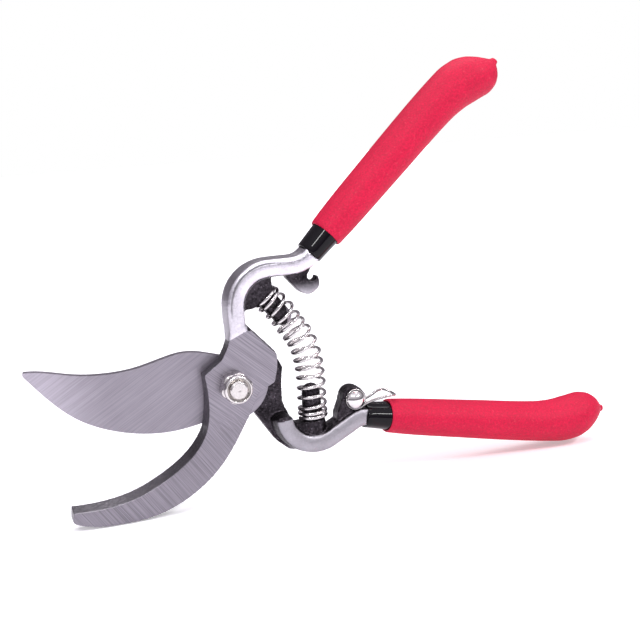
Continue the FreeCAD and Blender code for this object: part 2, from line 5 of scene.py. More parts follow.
import bmesh
import bpy
import numpy as np
from mathutils import Matrix, Vector, noise


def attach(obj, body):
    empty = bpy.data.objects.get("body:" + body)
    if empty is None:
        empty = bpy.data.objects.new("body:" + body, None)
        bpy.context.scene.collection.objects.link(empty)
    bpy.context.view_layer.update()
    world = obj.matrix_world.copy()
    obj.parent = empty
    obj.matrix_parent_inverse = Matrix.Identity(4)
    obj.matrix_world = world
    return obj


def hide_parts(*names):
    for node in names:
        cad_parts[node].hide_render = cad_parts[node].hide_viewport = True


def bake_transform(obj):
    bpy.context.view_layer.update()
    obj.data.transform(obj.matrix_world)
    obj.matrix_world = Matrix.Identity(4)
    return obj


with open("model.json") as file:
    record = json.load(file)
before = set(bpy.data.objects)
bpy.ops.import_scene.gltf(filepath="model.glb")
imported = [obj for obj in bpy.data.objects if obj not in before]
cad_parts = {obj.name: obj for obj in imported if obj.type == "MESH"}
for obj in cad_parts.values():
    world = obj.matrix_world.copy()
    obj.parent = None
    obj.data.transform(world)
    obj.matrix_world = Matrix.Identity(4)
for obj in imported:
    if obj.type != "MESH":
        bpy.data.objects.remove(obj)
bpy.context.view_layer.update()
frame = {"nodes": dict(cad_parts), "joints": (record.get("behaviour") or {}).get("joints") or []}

# Shapes are given in millimetres about the pivot, where its axis crosses the shear plane: X runs toward the
# grips, Y toward the bolt's head on the back, Z up. Lights, the floor and noise scales are in metres.
MM = 0.001
SAME_PLACE = 0.0000001      # vertices this close, in metres, are one
CAD_SAME_PLACE = 0.000002


def joint_place(name):
    return Vector(next(joint for joint in frame["joints"] if joint["name"] == name)["pos_m"])


PIVOT = joint_place("shears_pivot")
RIVET = joint_place("latch_swing")


def at(x, y, z):
    """The point in metres for one given in millimetres about the pivot."""
    return PIVOT + Vector((x, y, z)) * MM


# ---------------------------------------------------------------- camera, light and floor

FOCAL_LENGTH = 59.06
SENSOR_WIDTH = 36.0
CAMERA_PLACE = (-69.24, -329.66, 76.20)
CAMERA_RIGHT = Vector((0.94949, -0.30515, -0.07321))
CAMERA_BACK = Vector((-0.28970, -0.94202, 0.16933))

# name, place, target, size across and along, power in watts
LIGHTS = [
    ("key", (-0.35, -0.55, 0.75), (0, 0, 0.06), (0.5, 0.05), 3.0),
    ("top", (0.1, 0.2, 0.8), (0, 0, 0.1), (0.7, 0.5), 3.0),
    ("side", (0.45, -0.55, 0.6), (0, 0, 0.04), (0.5, 0.045), 3.0),
]

HORIZON = (0.075, 0.070, 0.082, 1)
OVERHEAD = (0.8, 0.78, 0.84, 1)
BEHIND = (0.17, 0.155, 0.175, 1)
WORLD_STRENGTH = 1.25

FLOOR_HALF = 8.0
FLOOR_DROP = 0.0002


def add_camera():
    data = bpy.data.cameras.new("camera")
    data.lens = FOCAL_LENGTH
    data.sensor_width = SENSOR_WIDTH
    data.clip_start = 0.01
    data.clip_end = 50.0
    camera = bpy.data.objects.new("camera", data)
    bpy.context.scene.collection.objects.link(camera)
    right = CAMERA_RIGHT.normalized()
    back = (CAMERA_BACK - right * CAMERA_BACK.dot(right)).normalized()
    up = back.cross(right)
    turn = Matrix((right, up, back)).transposed().to_4x4()
    camera.matrix_world = Matrix.Translation(at(*CAMERA_PLACE)) @ turn
    bpy.context.scene.camera = camera


def add_light(name, place, target, size, power):
    data = bpy.data.lights.new(name, "AREA")
    data.shape = "RECTANGLE"
    data.size, data.size_y = size
    data.energy = power
    light = bpy.data.objects.new(name, data)
    bpy.context.scene.collection.objects.link(light)
    light.location = Vector(place)
    light.rotation_euler = (Vector(target) - Vector(place)).to_track_quat("-Z", "Y").to_euler()


def add_world():
    """Pale overhead, dark at the horizon, so that plating gets dark edges. It is seen as plain white."""
    world = bpy.data.worlds.new("studio")
    bpy.context.scene.world = world
    world.use_nodes = True
    tree = world.node_tree
    tree.nodes.clear()
    new, link = tree.nodes.new, tree.links.new
    coords = new("ShaderNodeTexCoord")
    split = new("ShaderNodeSeparateXYZ")
    link(coords.outputs["Generated"], split.inputs[0])
    height = new("ShaderNodeValToRGB")
    low, high = height.color_ramp.elements
    low.position, low.color = 0.0, HORIZON
    high.position, high.color = 0.8, OVERHEAD
    link(split.outputs["Z"], height.inputs[0])
    backward = new("ShaderNodeMapRange")
    backward.inputs["From Min"].default_value = -0.3
    backward.inputs["From Max"].default_value = 0.8
    link(split.outputs["Y"], backward.inputs["Value"])
    mix = new("ShaderNodeMix")
    mix.data_type = "RGBA"
    link(backward.outputs[0], mix.inputs["Factor"])
    link(height.outputs["Color"], mix.inputs["A"])
    mix.inputs["B"].default_value = BEHIND
    lit = new("ShaderNodeBackground")
    lit.inputs["Strength"].default_value = WORLD_STRENGTH
    link(mix.outputs["Result"], lit.inputs["Color"])
    seen = new("ShaderNodeBackground")
    seen.inputs["Color"].default_value = (1, 1, 1, 1)
    seen.inputs["Strength"].default_value = 1.0
    rays = new("ShaderNodeLightPath")
    switch = new("ShaderNodeMixShader")
    link(rays.outputs["Is Camera Ray"], switch.inputs[0])
    link(lit.outputs[0], switch.inputs[1])
    link(seen.outputs[0], switch.inputs[2])
    link(switch.outputs[0], new("ShaderNodeOutputWorld").inputs[0])


def add_floor():
    """A white sheet that fades into the white world away from the object."""
    mesh = bpy.data.meshes.new("floor")
    half = FLOOR_HALF
    mesh.from_pydata([(-half, -half, 0), (half, -half, 0), (half, half, 0), (-half, half, 0)], [],
                     [(0, 1, 2, 3)])
    floor = bpy.data.objects.new("floor", mesh)
    bpy.context.scene.collection.objects.link(floor)
    floor.location.z = -FLOOR_DROP
    n = Nodes("floor_white")
    distance = n.new("ShaderNodeVectorMath")
    distance.operation = "LENGTH"
    n.link(n.coords, distance.inputs[0])
    seen_glow = n.range(distance.outputs["Value"], 0.15, 1.2, 0.36, 1.2)
    glow = n.blend(n.new("ShaderNodeLightPath").outputs["Is Camera Ray"], 0.12, seen_glow)
    n.set(Base_Color=(0.93, 0.92, 0.95, 1), Roughness=0.6, Specular_IOR_Level=0.2,
          Emission_Color=(1.0, 0.99, 1.0, 1), Emission_Strength=glow)
    mesh.materials.append(n.material)


# ---------------------------------------------------------------- material helpers

class Nodes:
    """Short names for the nodes of one material."""

    def __init__(self, name):
        self.material = bpy.data.materials.new(name)
        self.material.use_nodes = True
        self.tree = self.material.node_tree
        self.shader = self.tree.nodes["Principled BSDF"]
        self.coords = self.new("ShaderNodeTexCoord").outputs["Object"]

    def new(self, kind):
        return self.tree.nodes.new(kind)

    def link(self, source, target):
        self.tree.links.new(source, target)

    def put(self, source, socket):
        """A socket takes another socket's value or a plain value."""
        if isinstance(source, bpy.types.NodeSocket):
            self.link(source, socket)
        else:
            socket.default_value = source

    def mapped(self, vector, scale=(1, 1, 1), rotation=(0, 0, 0)):
        node = self.new("ShaderNodeMapping")
        self.link(vector, node.inputs["Vector"])
        node.inputs["Scale"].default_value = scale
        node.inputs["Rotation"].default_value = rotation
        return node.outputs[0]

    def noise(self, vector, scale, detail=3.0, rough=0.5):
        node = self.new("ShaderNodeTexNoise")
        self.link(vector, node.inputs["Vector"])
        node.inputs["Scale"].default_value = scale
        node.inputs["Detail"].default_value = detail
        node.inputs["Roughness"].default_value = rough
        return node.outputs["Fac"]

    def range(self, value, low, high, to_low=0.0, to_high=1.0, smooth=False):
        node = self.new("ShaderNodeMapRange")
        if smooth:
            node.interpolation_type = "SMOOTHSTEP"
        self.link(value, node.inputs["Value"])
        for key, number in (("From Min", low), ("From Max", high), ("To Min", to_low), ("To Max", to_high)):
            node.inputs[key].default_value = number
        return node.outputs[0]

    def math(self, kind, a, b):
        node = self.new("ShaderNodeMath")
        node.operation = kind
        self.put(a, node.inputs[0])
        self.put(b, node.inputs[1])
        return node.outputs[0]

    def mix(self, factor, a, b):
        """A colour between two others."""
        node = self.new("ShaderNodeMix")
        node.data_type = "RGBA"
        self.put(factor, node.inputs["Factor"])
        self.put(a, node.inputs["A"])
        self.put(b, node.inputs["B"])
        return node.outputs["Result"]

    def blend(self, factor, a, b):
        """A number between two others."""
        node = self.new("ShaderNodeMix")
        self.put(factor, node.inputs["Factor"])
        self.put(a, node.inputs["A"])
        self.put(b, node.inputs["B"])
        return node.outputs["Result"]

    def bump(self, height, strength, distance):
        node = self.new("ShaderNodeBump")
        node.inputs["Strength"].default_value = strength
        node.inputs["Distance"].default_value = distance
        self.link(height, node.inputs["Height"])
        return node.outputs[0]

    def tinted(self, colour, tone):
        """A colour made lighter or darker by a tone."""
        node = self.new("ShaderNodeVectorMath")
        node.operation = "SCALE"
        if isinstance(colour, bpy.types.NodeSocket):
            self.link(colour, node.inputs[0])
        else:
            node.inputs[0].default_value = colour[:3]
        self.link(tone, node.inputs["Scale"])
        return node.outputs[0]

    def place(self, axis):
        """The object's own X, Y or Z at each point."""
        split = self.new("ShaderNodeSeparateXYZ")
        self.link(self.coords, split.inputs[0])
        return split.outputs[axis]

    def attribute(self, name):
        node = self.new("ShaderNodeAttribute")
        node.attribute_name = name
        return node.outputs["Fac"]

    def set(self, **sockets):
        for key, value in sockets.items():
            self.put(value, self.shader.inputs[key.replace("_", " ")])


# ---------------------------------------------------------------- materials

# One finish: its colour, its roughness and the height that its bump follows.
Look = namedtuple("Look", "colour rough height")

GROUND_TINT = (1.0, 0.925, 1.06)
FORGED_TINT = (1.0, 0.86, 1.02)
BUFFED_TINT = (1.0, 0.955, 1.045)
PLATED_TINT = (1.0, 0.98, 1.01)
# the colour of the painted shade in the crease
CREASE_SHADE_TINT = (1.0, 0.97, 1.03)

# Grinding lines: how fast the noise varies along them and across them.
FINE_LINES = (45, 5200)
COARSE_LINES = (60, 3600)
LINE_DEPTH = 300
COARSE_LINES_TURN = 2


def grey(value, tint):
    return (value * tint[0], value * tint[1], value * tint[2], 1)


def lined(n, angle, along, across):
    """Noise drawn out into parallel lines at an angle in the XZ plane."""
    turned = n.mapped(n.coords, rotation=(0, math.radians(angle), 0))
    return n.noise(n.mapped(turned, scale=(along, LINE_DEPTH, across)), 1.0, 0.0, 0.6)


def ground_look(n, level, angles, switch=None, contrast=1.0):
    """Fine grinding lines over a broad uneven tone. The switch turns them from one angle to another."""
    def lines(lengths, turn):
        found = lined(n, angles[0] + turn, *lengths)
        return found if switch is None else n.blend(switch, found, lined(n, angles[1] + turn, *lengths))

    fine = lines(FINE_LINES, 0)
    coarse = lines(COARSE_LINES, COARSE_LINES_TURN)
    broad = n.noise(n.coords, 55.0, 3.0, 0.5)
    tone = n.math("ADD", n.range(fine, 0.4, 0.6, -0.13 * contrast, 0.13 * contrast),
                  n.range(coarse, 0.4, 0.6, -0.07 * contrast, 0.07 * contrast))
    tone = n.math("ADD", tone, n.range(broad, 0.3, 0.7, 0.93, 1.08))
    return Look(n.tinted(grey(level, GROUND_TINT), tone), n.range(fine, 0.3, 0.7, 0.36, 0.42), fine)


def forging_look(n, level):
    """Scale-dark forging with light specks on its high spots."""
    pits = n.noise(n.coords, 1300.0, 3.0, 0.6)
    blotch = n.noise(n.coords, 230.0, 3.0, 0.6)
    specks = n.range(n.noise(n.coords, 1700.0, 2.0, 0.5), 0.6, 0.76, 0.0, 2.6)
    tone = n.math("MULTIPLY", n.range(pits, 0.32, 0.68, 0.35, 1.6), n.range(blotch, 0.3, 0.7, 0.5, 1.5))
    tone = n.math("ADD", tone, specks)
    return Look(n.tinted(grey(level, FORGED_TINT), tone), n.range(pits, 0.3, 0.7, 0.30, 0.5), pits)


def buffed_look(n, level, rough):
    """Bright forging, buffed after the scale came off, with a few dull pits left."""
    fine = n.noise(n.coords, 1500.0, 3.0, 0.6)
    broad = n.noise(n.coords, 190.0, 3.0, 0.55)
    tone = n.math("MULTIPLY", n.range(fine, 0.3, 0.7, 0.88, 1.1), n.range(broad, 0.3, 0.75, 1.06, 0.84))
    return Look(n.tinted(grey(level, BUFFED_TINT), tone),
                n.range(fine, 0.3, 0.7, rough - 0.07, rough + 0.09), fine)


def forged_steel(name, ground_level, buffed_level, buffed_rough):
    """One steel forging: dark scale, mixed by the mesh's masks with ground and buffed faces, and painted
    shade along a crease.
    """
    n = Nodes(name)
    dark = forging_look(n, 0.042)
    low = n.range(n.place("Z"), PIVOT.z - 0.018, PIVOT.z - 0.006, 1.0, 0.0, smooth=True)
    flat = ground_look(n, ground_level, (-42, -56), low)
    flat_colour = n.tinted(flat.colour, n.range(low, 0.0, 1.0, 1.0, 0.84))
    bright = buffed_look(n, buffed_level, buffed_rough)
    ground, polish, crease = (n.attribute(word) for word in ("ground", "polish", "crease"))
    colour = n.mix(polish, dark.colour, bright.colour)
    colour = n.mix(ground, colour, flat_colour)
    # painted shade: a near-black line where the crease lies
    colour = n.mix(crease, colour, grey(0.09, CREASE_SHADE_TINT))
    rough = n.blend(ground, n.blend(polish, dark.rough, bright.rough), flat.rough)
    height = n.blend(polish, dark.height, n.math("MULTIPLY", bright.height, 0.25))
    height = n.blend(ground, height, n.math("MULTIPLY", flat.height, 0.35))
    n.set(Base_Color=colour, Metallic=1.0, Roughness=rough, Normal=n.bump(height, 0.6, 0.00012))
    return n.material


def blade_steel(name):
    """Ground steel, with painted light toward the blade's tip; its heel is left darker, as painted shade."""
    n = Nodes(name)
    flat = ground_look(n, 0.32, (30, 30), contrast=0.55)
    # painted light and shade: up to half again lighter toward the tip than at the heel
    tip_painted_light = n.range(n.place("X"), PIVOT.x - 0.062, PIVOT.x - 0.036, 1.5, 1.0, smooth=True)
    n.set(Base_Color=n.tinted(flat.colour, tip_painted_light), Metallic=1.0, Roughness=flat.rough,
          Normal=n.bump(flat.height, 0.3, 0.00004))
    return n.material


def plated(name, level, rough, tint=PLATED_TINT):
    """Bright nickel plating with small dull patches."""
    n = Nodes(name)
    fine = n.noise(n.coords, 1800.0, 3.0, 0.6)
    broad = n.noise(n.coords, 500.0, 3.0, 0.55)
    tone = n.math("MULTIPLY", n.range(fine, 0.3, 0.7, 0.94, 1.04), n.range(broad, 0.3, 0.7, 0.9, 1.06))
    n.set(Base_Color=n.tinted(grey(level, tint), tone), Metallic=1.0,
          Roughness=n.range(broad, 0.3, 0.7, rough * 0.75, rough * 1.3),
          Normal=n.bump(fine, 0.05, 0.00001))
    return n.material


def grip_rubber(name):
    """Dipped vinyl: crimson and finely grained, with pale specks."""
    n = Nodes(name)
    grain = n.noise(n.coords, 1600.0, 3.0, 0.65)
    speck = n.noise(n.coords, 1100.0, 2.0, 0.5)
    broad = n.noise(n.coords, 60.0, 3.0, 0.5)
    tone = n.math("MULTIPLY", n.range(grain, 0.3, 0.7, 0.78, 1.2), n.range(broad, 0.3, 0.7, 0.93, 1.06))
    colour = n.tinted((0.58, 0.006, 0.047), tone)
    colour = n.mix(n.range(speck, 0.6, 0.78, 0.0, 0.16), colour, (0.85, 0.16, 0.19, 1))
    n.set(Base_Color=colour, Roughness=n.range(grain, 0.3, 0.7, 0.5, 0.68), Specular_IOR_Level=0.25,
          Normal=n.bump(grain, 0.55, 0.00012))
    return n.material


def sleeve_gloss(name):
    """Glossy black plastic."""
    n = Nodes(name)
    fine = n.noise(n.coords, 900.0, 2.0, 0.5)
    n.set(Base_Color=n.tinted((0.004, 0.003, 0.005), n.range(fine, 0.3, 0.7, 0.8, 1.2)),
          Roughness=n.range(fine, 0.3, 0.7, 0.04, 0.08), Specular_IOR_Level=0.22,
          Normal=n.bump(fine, 0.06, 0.00002))
    return n.material


# ---------------------------------------------------------------- mesh helpers

def add_piece(name, mesh, material, node, body=None):
    """A piece that stands for a CAD node. It rides on a body, if one is given."""
    obj = bpy.data.objects.new(name, mesh)
    bpy.context.scene.collection.objects.link(obj)
    mesh.materials.clear()
    mesh.materials.append(material)
    mesh.shade_smooth()
    if body:
        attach(obj, body)
    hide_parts(node)
    return obj


def rings_mesh(name, rings, close_ends=True):
    """Quads between rings of points, all with the same count. Rings that meet are joined."""
    count = len(rings[0])
    points = [point for ring in rings for point in ring]
    faces = []
    for i in range(len(rings) - 1):
        for j in range(count):
            k = (j + 1) % count
            faces.append((i * count + j, i * count + k, (i + 1) * count + k, (i + 1) * count + j))
    if close_ends:
        faces.append(tuple(range(count))[::-1])
        faces.append(tuple(range((len(rings) - 1) * count, len(rings) * count)))
    mesh = bpy.data.meshes.new(name)
    mesh.from_pydata(points, [], faces)
    mesh.update()
    work = bmesh.new()
    work.from_mesh(mesh)
    bmesh.ops.remove_doubles(work, verts=work.verts, dist=SAME_PLACE)
    bmesh.ops.recalc_face_normals(work, faces=work.faces)
    work.to_mesh(mesh)
    work.free()
    return mesh


def ease(t):
    """0 to 1, flat at both ends."""
    return 3 * t ** 2 - 2 * t ** 3


def cubic(xs, ys, x):
    """Smooth interpolation through a few values, without overshoot."""
    xs, ys, x = np.asarray(xs, float), np.asarray(ys, float), np.asarray(x, float)
    slope = np.diff(ys) / np.diff(xs)
    tangent = np.zeros_like(ys)
    tangent[0], tangent[-1] = slope[0], slope[-1]
    same = slope[:-1] * slope[1:] > 0
    tangent[1:-1][same] = 2 * (slope[:-1] * slope[1:])[same] / (slope[:-1] + slope[1:])[same]
    i = np.clip(np.searchsorted(xs, x) - 1, 0, len(xs) - 2)
    step = xs[i + 1] - xs[i]
    t = (x - xs[i]) / step
    return ((1 - ease(t)) * ys[i] + (t ** 3 - 2 * t ** 2 + t) * step * tangent[i]
            + ease(t) * ys[i + 1] + (t ** 3 - t ** 2) * step * tangent[i + 1])


def reach_along(path):
    """The distance along a path to each of its points."""
    return np.concatenate([[0], np.cumsum(np.linalg.norm(np.diff(path, axis=0), axis=1))])


def directions(path):
    """The direction of a path at each of its points."""
    ahead = np.gradient(path, axis=0)
    return ahead / np.linalg.norm(ahead, axis=1)[:, None]


def path_through(points, spacing):
    """Evenly spaced points on a smooth curve through a few points."""
    points = np.asarray(points, float)
    reach = reach_along(points)
    steps = np.linspace(0, reach[-1], max(2, int(reach[-1] / spacing)))
    return np.stack([cubic(reach, points[:, k], steps) for k in range(points.shape[1])], 1)


# A wire's rounded end, from its tip: distance past the path's end and radius, as shares of its radius.
WIRE_END = [(0.55, 0.02), (0.5, 0.45), (0.35, 0.75), (0.15, 0.95)]


def wire_mesh(name, path, radius, sides):
    """A round wire along a path, with rounded ends."""
    path = [Vector(p) for p in path]
    tangents = [(path[min(i + 1, len(path) - 1)] - path[max(i - 1, 0)]).normalized()
                for i in range(len(path))]
    side = tangents[0].orthogonal().normalized()
    rings = []
    for i, (here, ahead) in enumerate(zip(path, tangents)):
        side = (side - ahead * side.dot(ahead)).normalized()
        other = ahead.cross(side)

        def ring(past=0.0, share=1.0):
            centre = here + ahead * past * radius
            return [at(*(centre + (side * math.cos(a) + other * math.sin(a)) * (share * radius)))
                    for a in (math.tau * j / sides for j in range(sides))]

        if i == 0:
            rings += [ring(-past, share) for past, share in WIRE_END]
        rings.append(ring())
        if i == len(path) - 1:
            rings += [ring(past, share) for past, share in reversed(WIRE_END)]
    return rings_mesh(name, rings)


def vertices(mesh):
    flat = np.empty(len(mesh.vertices) * 3, np.float32)
    mesh.vertices.foreach_get("co", flat)
    return flat.reshape(-1, 3).astype(float)


def put_vertices(mesh, points):
    mesh.vertices.foreach_set("co", points.astype(np.float32).ravel())
    mesh.update()


def normals(mesh):
    flat = np.empty(len(mesh.vertices) * 3, np.float32)
    mesh.vertex_normals.foreach_get("vector", flat)
    return flat.reshape(-1, 3).astype(float)


def about_pivot(points):
    return (points - np.array(PIVOT)) / MM


def from_pivot(points):
    return points * MM + np.array(PIVOT)


def relax(mesh, points, rounds, weight=1.0):
    """Moves each vertex halfway toward the mean of its neighbours, or less by its weight, a few times."""
    pairs = np.empty(len(mesh.edges) * 2, np.int32)
    mesh.edges.foreach_get("vertices", pairs)
    a, b = pairs.reshape(-1, 2).T
    n = len(points)
    count = np.bincount(a, minlength=n) + np.bincount(b, minlength=n)
    weight = np.broadcast_to(weight, n)[:, None] * 0.5
    for _ in range(rounds):
        total = np.stack([np.bincount(a, points[b, k], n) + np.bincount(b, points[a, k], n)
                          for k in range(3)], 1)
        points = points + weight * (total / count[:, None] - points)
    return points


def remeshed(node, voxel):
    """An even, closed mesh of a CAD node's shape, in voxels of a size in millimetres."""
    mesh = frame["nodes"][node].data.copy()
    work = bmesh.new()
    work.from_mesh(mesh)
    bmesh.ops.remove_doubles(work, verts=work.verts, dist=CAD_SAME_PLACE)
    work.to_mesh(mesh)
    work.free()
    helper = bpy.data.objects.new("helper", mesh)
    bpy.context.scene.collection.objects.link(helper)
    voxels = helper.modifiers.new("voxels", "REMESH")
    voxels.mode = "VOXEL"
    voxels.voxel_size = voxel * MM
    done = helper.evaluated_get(bpy.context.evaluated_depsgraph_get())
    result = bpy.data.meshes.new_from_object(done)
    bpy.data.objects.remove(helper)
    result.name = node
    return result


def ramp(value, low, high):
    """0 at low, 1 at high, eased."""
    return ease(np.clip((value - low) / (high - low), 0, 1))


def inside(points, outline):
    """Which points lie inside an outline drawn on X and Z."""
    x, z = points[:, 0], points[:, 2]
    found = np.zeros(len(points), bool)
    for (x0, z0), (x1, z1) in zip(outline, outline[1:] + outline[:1]):
        if z0 == z1:
            continue
        crosses = (z0 > z) != (z1 > z)
        found ^= crosses & (x < (x1 - x0) * (z - z0) / (z1 - z0) + x0)
    return found


def bend_path(corners):
    """Close points along straight runs joined by tangent arcs; corners are (x, z, radius)."""
    arc_steps, spacing = 12, 0.3
    points = []
    for i, (x, z, radius) in enumerate(corners):
        here = Vector((x, z))
        if radius == 0:
            points.append(here)
            continue
        back = (Vector(corners[i - 1][:2]) - here).normalized()
        ahead = (Vector(corners[i + 1][:2]) - here).normalized()
        half = back.angle(ahead) / 2
        centre = here + (back + ahead).normalized() * radius / math.sin(half)
        start = here + back * radius / math.tan(half) - centre
        end = here + ahead * radius / math.tan(half) - centre
        turn = start.angle_signed(end)
        for k in range(arc_steps + 1):
            spun = start.copy()
            spun.rotate(Matrix.Rotation(-turn * k / arc_steps, 2))
            points.append(centre + spun)
    close = []
    for start, end in zip(points, points[1:]):
        steps = max(1, int((end - start).length / spacing))
        close += [start.lerp(end, k / steps) for k in range(steps)]
    return np.array([tuple(p) for p in close + [points[-1]]])


def along_bar(points, path):
    """Each point's distance along a bar's centre line, and its signed distance aside from it."""
    batch = 20000
    flat = points[:, [0, 2]]
    nearest = np.empty(len(flat), int)
    for start in range(0, len(flat), batch):
        gap = ((flat[start:start + batch, None] - path[None]) ** 2).sum(2)
        nearest[start:start + batch] = gap.argmin(1)
    ahead = directions(path)[nearest]
    off = flat - path[nearest]
    aside = ahead[:, 0] * off[:, 1] - ahead[:, 1] * off[:, 0]
    return reach_along(path)[nearest] + (off * ahead).sum(1), aside


def set_masks(mesh, **masks):
    for name, values in masks.items():
        layer = mesh.attributes.new(name, "FLOAT", "POINT")
        layer.data.foreach_set("value", np.ascontiguousarray(values, np.float32))


def roughened(points, facing, amount, share):
    """Forging skin: small lumps along the normal."""
    lumps = np.array([noise.fractal(Vector(p) * 1.1, 1.0, 2.0, 3) for p in points])
    return points + facing * (lumps * amount * share)[:, None]


# ---------------------------------------------------------------- the two forgings

FORGING_VOXEL = 0.25
PLATE_FRONT = -6.0
SHEAR_PLANE = -0.05
FACE_BAND = 0.2             # how near a face's plane its own vertices lie
HEAD_RADIUS = 13.2
BAR_FROM = 12.0             # the upper bar starts this far above the pivot
CREASE_ASIDE, CREASE_WIDTH, CREASE_DEPTH = 1.5, 0.28, 0.12
GROUND_OUTLINE = [(-70, -50), (25, -50), (25, 10), (12.0, 13.5), (7.4, 17.4), (4.8, 17.2), (-0.4, 15.0),
                  (-6, 12.5), (-70, 12.5)]
# centre lines of the bars
UPPER_BAR = [(2.65, 14.0, 0), (2.65, 36.7, 12.0), (26.46, 36.7, 10.0), (31.0, 41.0, 0)]
LOWER_BAR = [(15.8, -12.4, 0), (15.8, -30.6, 10.8), (42.46, -16.78, 5.2), (45.0, -17.28, 0)]


def make_hook_handle():
    """The hook, pivot plate and upper bar: sharp ground plate, the rest worn round and partly buffed."""
    mesh = remeshed("hook_handle", FORGING_VOXEL)
    points = about_pivot(vertices(mesh))
    plate = inside(points, GROUND_OUTLINE) & (points[:, 1] < 1.0)
    # the whole forging loses its steps, then all but the plate is worn round
    forging = relax(mesh, points, 3)
    forging = relax(mesh, forging, 14, np.where(plate, 0.0, 1.0))
    put_vertices(mesh, from_pivot(forging))
    facing = normals(mesh)
    reach, aside = along_bar(forging, bend_path(UPPER_BAR))

    # the plate's two faces are flat and ground
    front = plate & (np.abs(points[:, 1] - PLATE_FRONT) < FACE_BAND) & (facing[:, 1] < -0.8)
    back = plate & (np.abs(points[:, 1] - SHEAR_PLANE) < FACE_BAND) & (facing[:, 1] > 0.8)
    forging[front, 1] = PLATE_FRONT
    forging[back, 1] = SHEAR_PLANE
    ground = np.where(front | back, 1.0, 0.0)
    ground = np.maximum(ground, np.where(plate, ramp(-facing[:, 1], 0.5, 0.9), 0))

    # buffed: the bar's front, except its inner edge, and less so its outer side, its back, the hook's
    # sides toward the tip and the lower end of the catch
    on_bar = (forging[:, 2] > BAR_FROM) & (np.abs(aside) < 4.2) & ~plate
    front_of_bar = ramp(-facing[:, 1], 0.15, 0.6) * on_bar
    back_of_bar = ramp(facing[:, 1], 0.4, 0.8) * on_bar
    outer = ramp(aside, 1.0, 3.2) * on_bar
    toward_hook_tip = ramp(-forging[:, 0], 14, 32)
    on_handle = (forging[:, 0] > 20) * (forging[:, 2] > BAR_FROM)
    polish = np.maximum.reduce([
        front_of_bar * (1 - ramp(-aside, 2.6, 3.4)),
        outer * 0.6,
        back_of_bar * 0.8,
        np.where(plate, 0.12 + 0.2 * toward_hook_tip, 0.0),
        ramp(-forging[:, 2], -31.5, -26.5) * on_handle * 0.55])

    # a shallow forging crease runs along the bar's front round its first bend; it is sunk a little, and the
    # same mask paints shade into it
    crease = np.exp(-((aside - CREASE_ASIDE) / CREASE_WIDTH) ** 2) * front_of_bar
    crease *= ramp(reach, 7, 11) * ramp(-reach, -36, -29)
    forging[:, 1] += crease * CREASE_DEPTH
    forging = roughened(forging, facing, 0.08, (1 - ground) * (1 - 0.8 * polish))
    put_vertices(mesh, from_pivot(forging))
    set_masks(mesh, ground=ground, polish=polish, crease=crease * 0.75)
    add_piece("hook_forging", mesh, forged_steel("hook_forging", 0.315, 0.8, 0.33),
              "hook_handle", "hook_side")


def make_blade_handle():
    """The head behind the blade, the neck and the lower bar: ground head, partly buffed bar."""
    mesh = remeshed("blade_handle", FORGING_VOXEL)
    points = about_pivot(vertices(mesh))
    forging = relax(mesh, points, 4)
    head = (np.hypot(points[:, 0], points[:, 2]) < HEAD_RADIUS) & (points[:, 1] > 0)
    forging = relax(mesh, forging, 12, np.where(head, 0.0, 1.0))
    put_vertices(mesh, from_pivot(forging))
    facing = normals(mesh)
    reach, aside = along_bar(forging, bend_path(LOWER_BAR))

    # buffed: a band along the bar's front and, past the neck, its underside
    past_neck = ramp(reach, 9, 14)
    on_bar = (reach > 1.6) & (np.abs(aside) < 3.9) & (forging[:, 1] < -3.5)
    band = ramp(-facing[:, 1], 0.15, 0.45) * on_bar * (1 - ramp(aside, 2.5, 3.0))
    band *= 1 - ramp(-aside, 2.3, 2.9) * (1 - past_neck)
    under = ramp(-aside, 1.6, 3.0) * (np.abs(aside) < 4.6) * past_neck
    polish = np.maximum(band, under * 0.75)
    ground = head * ramp(facing[:, 1], 0.8, 0.95)
    forging = roughened(forging, facing, 0.1, (1 - ground) * (1 - 0.7 * polish))
    put_vertices(mesh, from_pivot(forging))
    set_masks(mesh, ground=ground, polish=polish, crease=np.zeros(len(forging)))
    add_piece("blade_forging", mesh, forged_steel("blade_forging", 0.33, 0.43, 0.46),
              "blade_handle", "blade_side")


# ---------------------------------------------------------------- blade, nut, bolt and rivet

# The nut's section, from its seat out to its collar and back down its bore: height on Y, apothem of the
# hexagon (none on the round collar) and largest radius.
NUT = [(-6.10, 4.70, 5.15), (-6.22, 4.78, 5.25), (-6.6, 4.78, 5.25), (-9.2, 4.78, 5.25),
       (-9.6, 4.78, 5.22), (-9.85, 4.76, 5.08), (-10.0, 4.70, 4.86), (-10.08, None, 4.68),
       (-10.2, None, 4.62), (-10.4, None, 4.62), (-11.3, None, 4.62), (-11.6, None, 4.60),
       (-11.9, None, 4.50), (-12.12, None, 4.34), (-12.25, None, 4.14), (-12.29, None, 3.95),
       (-12.24, None, 3.82), (-12.1, None, 3.77), (-11.9, None, 3.76), (-10.5, None, 3.76),
       (-10.4, None, 3.06), (-6.10, None, 3.06)]
NUT_SIDES = 120
SIXTH = math.tau / 6
WARM_TINT = (1.0, 0.955, 0.945)

# node, voxel, rounds of wear, material's name, level, roughness and tint
WORN = [
    ("pivot_bolt", 0.09, 7, "bolt_plating", 0.70, 0.26, (1.0, 0.955, 0.94)),
    ("nut_insert", 0.075, 5, "insert_ring", 0.42, 0.3, (1.0, 0.93, 0.88)),
    ("latch_rivet", 0.08, 6, "rivet_plating", 0.82, 0.09, (1.0, 0.96, 0.96)),
]


